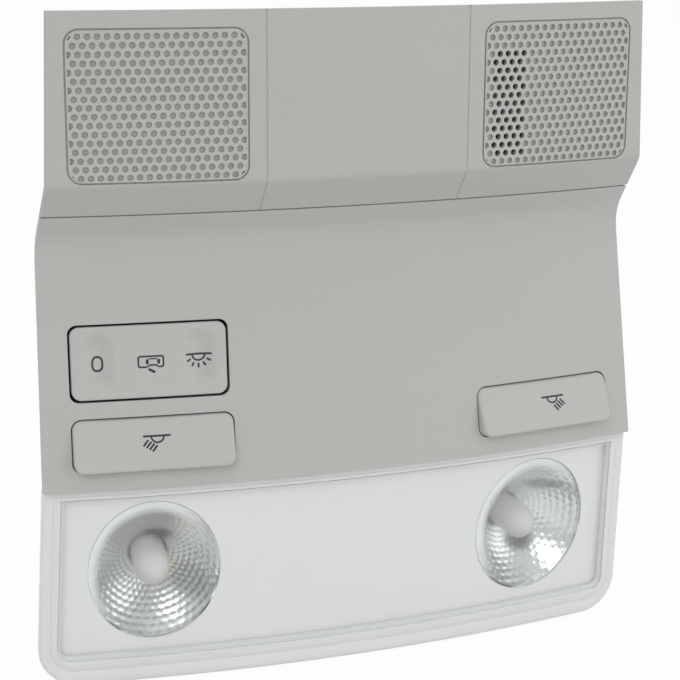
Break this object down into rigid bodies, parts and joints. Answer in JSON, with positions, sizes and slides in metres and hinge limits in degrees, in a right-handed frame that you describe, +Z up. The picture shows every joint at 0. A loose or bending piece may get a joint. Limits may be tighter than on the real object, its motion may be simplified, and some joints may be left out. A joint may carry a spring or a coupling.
{
  "type": "overhead console dome light",
  "caption": "Car overhead console: dome light with two reading lamps behind one clear lens, mode rocker, two push buttons and perforated side panels.",
  "frame": {"origin": "midway between the two roof screws, on the rear plane that rests on the roof frame", "axes": "+X to the viewer's right, +Z up towards the perforated panels, -Y out of the front face"},
  "size_m": [0.1808, 0.044, 0.1885],
  "materials": {
    "bezel_plastic": "fine-grained light grey moulded plastic",
    "panel_plastic": "fine-grained light grey moulded plastic",
    "cap_plastic": "satin light grey moulded plastic",
    "housing_plastic": "plain mid grey moulded plastic",
    "clear_lens": "clear moulded lens",
    "milky_plastic": "milky light-diffusing plastic",
    "white_plastic": "glossy white plastic",
    "reflector_metal": "bright metallised, faceted",
    "bulb_glass": "clear glass",
    "black_plastic": "black moulded plastic",
    "board_laminate": "green laminate",
    "contact_brass": "bright brass strip",
    "capsule_metal": "satin can",
    "spring_steel": "spring steel strip",
    "screw_steel": "zinc plated steel"
  },
  "bodies": {
    "console": {"fascia": "bezel_plastic", "left_grille_panel": "panel_plastic", "centre_blank_panel": "panel_plastic", "right_grille_panel": "panel_plastic", "rear_housing": "housing_plastic", "lens": "clear_lens", "diffuser": "milky_plastic", "light_box": "white_plastic", "left_reflector": "reflector_metal", "right_reflector": "reflector_metal", "left_reading_bulb": "bulb_glass", "right_reading_bulb": "bulb_glass", "left_bulb_holder": "black_plastic", "right_bulb_holder": "black_plastic", "dome_bulb": "bulb_glass", "left_dome_clip": "contact_brass", "right_dome_clip": "contact_brass", "circuit_board": "board_laminate", "rocker_switch_body": "black_plastic", "left_switch_body": "black_plastic", "right_switch_body": "black_plastic", "microphone_housing": "black_plastic", "microphone_capsule": "capsule_metal", "connector_socket": "black_plastic", "connector_pins": "contact_brass", "left_spring_clip": "spring_steel", "right_spring_clip": "spring_steel", "housing_screws": "screw_steel"},
    "mode_rocker": {"mode_rocker": "cap_plastic"},
    "left_button": {"left_button": "cap_plastic"},
    "right_button": {"right_button": "cap_plastic"},
    "left_plunger": {"left_plunger": "cap_plastic"},
    "right_plunger": {"right_plunger": "cap_plastic"}
  },
  "joints": [
    {"name": "mode_rocker_tilt", "type": "hinge", "parent": "console", "child": "mode_rocker", "pos_m": [-0.05812, -0.02689, 0.04184], "axis": [0.0192, 0.1565, 0.9875], "range_deg": [-4, 4]},
    {"name": "left_button_press", "type": "hinge", "parent": "console", "child": "left_button", "pos_m": [-0.05803, -0.02965, 0.02473], "axis": [0.9927, -0.1209, 0], "range_deg": [0, 3.5], "stiffness_Nm_per_rad": 0.3},
    {"name": "left_plunger_slide", "type": "slide", "parent": "console", "child": "left_plunger", "axis": [0, 1, 0], "range_m": [0, 0.000552]},
    {"name": "right_button_press", "type": "hinge", "parent": "console", "child": "right_button", "pos_m": [0.05803, -0.02965, 0.02473], "axis": [0.9927, 0.1209, 0], "range_deg": [0, 3.5], "stiffness_Nm_per_rad": 0.3},
    {"name": "right_plunger_slide", "type": "slide", "parent": "console", "child": "right_plunger", "axis": [0, 1, 0], "range_m": [0, 0.000552]}
  ],
  "couplings": [
    {"joint": "left_plunger_slide", "follows": "left_button_press", "m_per_rad": 0.00855},
    {"joint": "right_plunger_slide", "follows": "right_button_press", "m_per_rad": 0.00855}
  ]
}
